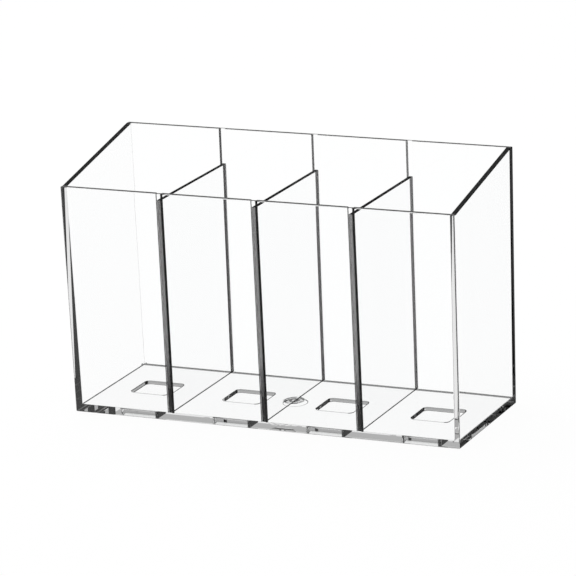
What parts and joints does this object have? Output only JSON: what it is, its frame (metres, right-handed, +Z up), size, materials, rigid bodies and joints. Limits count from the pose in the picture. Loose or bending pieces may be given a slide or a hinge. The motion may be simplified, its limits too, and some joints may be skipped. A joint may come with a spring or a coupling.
{
  "type": "makeup brush holder",
  "caption": "Clear plastic brush holder: an open-topped rectangular tray with a low front, a higher back and sloping sides, parted into upright compartments by lift-out dividers.",
  "frame": {"origin": "middle of the base, on the surface that the holder stands on", "axes": "+X along the row of compartments, to the right seen from the front; +Y from the low front wall to the high back wall; +Z up"},
  "size_m": [0.2002, 0.0749, 0.1255],
  "materials": {
    "tray_plastic": "clear, mould-polished",
    "divider_plastic": "clear, mould-polished"
  },
  "bodies": {
    "holder": {"tray": "tray_plastic"},
    "left_plate": {"left_divider": "divider_plastic"},
    "middle_plate": {"middle_divider": "divider_plastic"},
    "right_plate": {"right_divider": "divider_plastic"}
  },
  "joints": [
    {"name": "left_divider_lift", "type": "slide", "parent": "holder", "child": "left_plate", "axis": [0, 0, 1], "range_m": [0, 0.125]},
    {"name": "middle_divider_lift", "type": "slide", "parent": "holder", "child": "middle_plate", "axis": [0, 0, 1], "range_m": [0, 0.125]},
    {"name": "right_divider_lift", "type": "slide", "parent": "holder", "child": "right_plate", "axis": [0, 0, 1], "range_m": [0, 0.125]}
  ]
}
